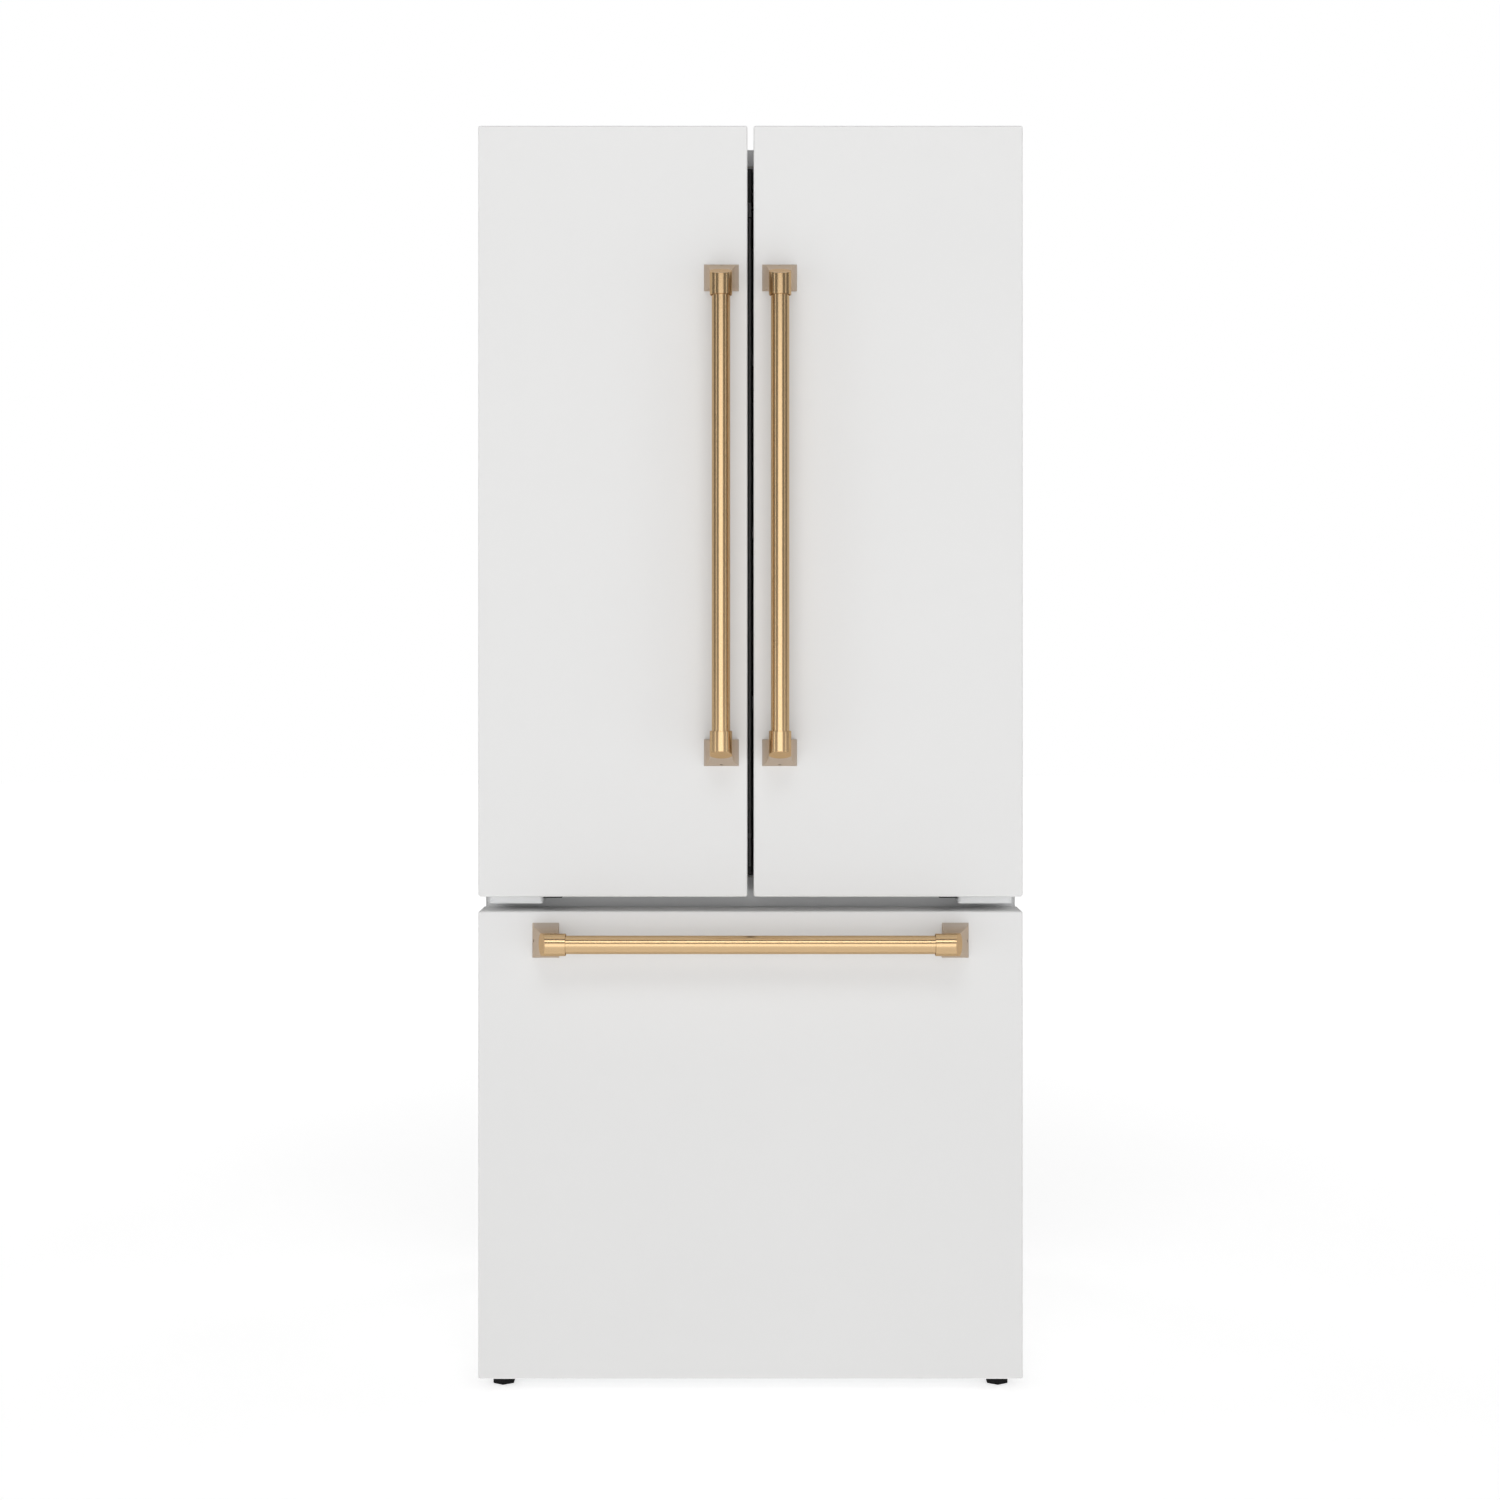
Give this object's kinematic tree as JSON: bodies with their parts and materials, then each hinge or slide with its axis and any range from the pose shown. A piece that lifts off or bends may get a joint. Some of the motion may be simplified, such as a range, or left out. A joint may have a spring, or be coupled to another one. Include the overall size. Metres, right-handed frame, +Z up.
{
  "type": "french door refrigerator",
  "caption": "Tall white refrigerator with paired upper doors over a freezer drawer, round bronze bar handles, interior shelves, bins, crispers and cooling machinery.",
  "frame": {"origin": "on the floor, under the middle of the whole refrigerator with its handles", "axes": "+Z up, the doors face -Y, +X to the right of a person who faces the doors"},
  "size_m": [0.7556, 0.7956, 1.77],
  "materials": {
    "white_paint": "matte white enamel with a fine texture",
    "grey_paint": "satin grey",
    "bronze": "brushed bronze",
    "white_plastic": "satin white plastic",
    "clear_plastic": "clear moulded plastic",
    "seal": "soft grey vinyl",
    "black_plastic": "satin black plastic",
    "foam": "cut foam",
    "zinc": "zinc-plated steel",
    "aluminium": "plain aluminium",
    "black_paint": "black enamel",
    "glass": "clear tempered glass"
  },
  "bodies": {
    "cabinet": {"side_panel_left": "white_paint", "side_panel_right": "white_paint", "top_panel": "white_paint", "back_panel": "grey_paint", "front_frame": "grey_paint", "toe_grille": "grey_paint", "rear_cover": "grey_paint", "cabinet_insulation": "foam", "fresh_food_liner": "white_plastic", "freezer_liner": "white_plastic", "hinge_cover_left": "white_plastic", "hinge_cover_right": "white_plastic", "centre_hinge_left": "white_plastic", "centre_hinge_right": "white_plastic", "air_duct": "white_plastic", "base_pan": "zinc", "top_hinge_left": "zinc", "top_hinge_right": "zinc", "shelf_upper": "glass", "shelf_lower": "glass", "crisper_cover": "glass", "compressor": "black_paint", "condenser": "black_paint", "evaporator": "aluminium"},
    "left_door": {"door_skin_left": "white_paint", "door_liner_left": "white_plastic", "door_gasket_left": "seal", "door_handle_left": "bronze", "door_handle_left_bracket_lower": "bronze", "door_handle_left_bracket_upper": "bronze", "door_bin_left_lower": "clear_plastic", "door_bin_left_upper": "clear_plastic"},
    "right_door": {"door_skin_right": "white_paint", "door_liner_right": "white_plastic", "door_gasket_right": "seal", "door_handle_right": "bronze", "door_handle_right_bracket_lower": "bronze", "door_handle_right_bracket_upper": "bronze", "door_bin_right_lower": "clear_plastic", "door_bin_right_upper": "clear_plastic"},
    "mullion": {"flipper_mullion": "black_plastic"},
    "freezer_drawer": {"drawer_skin": "white_paint", "drawer_liner": "white_plastic", "drawer_gasket": "seal", "drawer_handle": "bronze", "drawer_handle_bracket_left": "bronze", "drawer_handle_bracket_right": "bronze", "drawer_frame": "zinc", "freezer_basket": "white_plastic"},
    "upper_tray": {"freezer_upper_tray": "clear_plastic"},
    "rail_left": {"middle_rail_left": "zinc"},
    "rail_right": {"middle_rail_right": "zinc"},
    "crisper_drawer_left": {"crisper_left": "clear_plastic"},
    "crisper_drawer_right": {"crisper_right": "clear_plastic"},
    "condenser_rotor": {"condenser_fan": "black_plastic"},
    "evaporator_rotor": {"evaporator_fan": "white_plastic"},
    "roller_left": {"rear_roller_left": "black_plastic"},
    "roller_right": {"rear_roller_right": "black_plastic"},
    "foot_left": {"front_foot_left": "black_plastic"},
    "foot_right": {"front_foot_right": "black_plastic"}
  },
  "joints": [
    {"name": "left_door_hinge", "type": "hinge", "parent": "cabinet", "child": "left_door", "pos_m": [-0.35783, -0.29223, 1.2], "axis": [0, 0, -1], "range_deg": [0, 120]},
    {"name": "right_door_hinge", "type": "hinge", "parent": "cabinet", "child": "right_door", "pos_m": [0.35783, -0.29223, 1.2], "axis": [0, 0, 1], "range_deg": [0, 120]},
    {"name": "mullion_hinge", "type": "hinge", "parent": "left_door", "child": "mullion", "pos_m": [-0.048, -0.24693, 1.2], "axis": [0, 0, 1], "range_deg": [0, 90]},
    {"name": "freezer_drawer_slide", "type": "slide", "parent": "cabinet", "child": "freezer_drawer", "axis": [0, -1, 0], "range_m": [0, 0.42]},
    {"name": "rail_left_slide", "type": "slide", "parent": "cabinet", "child": "rail_left", "axis": [0, -1, 0], "range_m": [0, 0.21]},
    {"name": "rail_right_slide", "type": "slide", "parent": "cabinet", "child": "rail_right", "axis": [0, -1, 0], "range_m": [0, 0.21]},
    {"name": "upper_tray_slide", "type": "slide", "parent": "freezer_drawer", "child": "upper_tray", "axis": [0, 1, 0], "range_m": [0, 0.12]},
    {"name": "crisper_left_slide", "type": "slide", "parent": "cabinet", "child": "crisper_drawer_left", "axis": [0, -1, 0], "range_m": [0, 0.19]},
    {"name": "crisper_right_slide", "type": "slide", "parent": "cabinet", "child": "crisper_drawer_right", "axis": [0, -1, 0], "range_m": [0, 0.19]},
    {"name": "condenser_fan_spin", "type": "hinge", "parent": "cabinet", "child": "condenser_rotor", "pos_m": [-0.07, 0.28277, 0.118], "axis": [1, 0, 0], "continuous": true},
    {"name": "evaporator_fan_spin", "type": "hinge", "parent": "cabinet", "child": "evaporator_rotor", "pos_m": [0, 0.28277, 0.57], "axis": [0, -1, 0], "continuous": true},
    {"name": "rear_roller_left_spin", "type": "hinge", "parent": "cabinet", "child": "roller_left", "pos_m": [-0.3, 0.33777, 0.018], "axis": [1, 0, 0], "continuous": true},
    {"name": "rear_roller_right_spin", "type": "hinge", "parent": "cabinet", "child": "roller_right", "pos_m": [0.3, 0.33777, 0.018], "axis": [1, 0, 0], "continuous": true},
    {"name": "front_foot_left_turn", "type": "hinge", "parent": "cabinet", "child": "foot_left", "pos_m": [-0.351, -0.24622, 0.01], "axis": [0, 0, 1], "continuous": true},
    {"name": "front_foot_right_turn", "type": "hinge", "parent": "cabinet", "child": "foot_right", "pos_m": [0.351, -0.24622, 0.01], "axis": [0, 0, 1], "continuous": true}
  ],
  "couplings": [
    {"joint": "rail_left_slide", "follows": "freezer_drawer_slide", "ratio": 0.5},
    {"joint": "rail_right_slide", "follows": "freezer_drawer_slide", "ratio": 0.5},
    {"joint": "crisper_left_slide", "follows": "left_door_hinge", "m_per_rad": 0.0907},
    {"joint": "crisper_right_slide", "follows": "right_door_hinge", "m_per_rad": 0.0907}
  ]
}
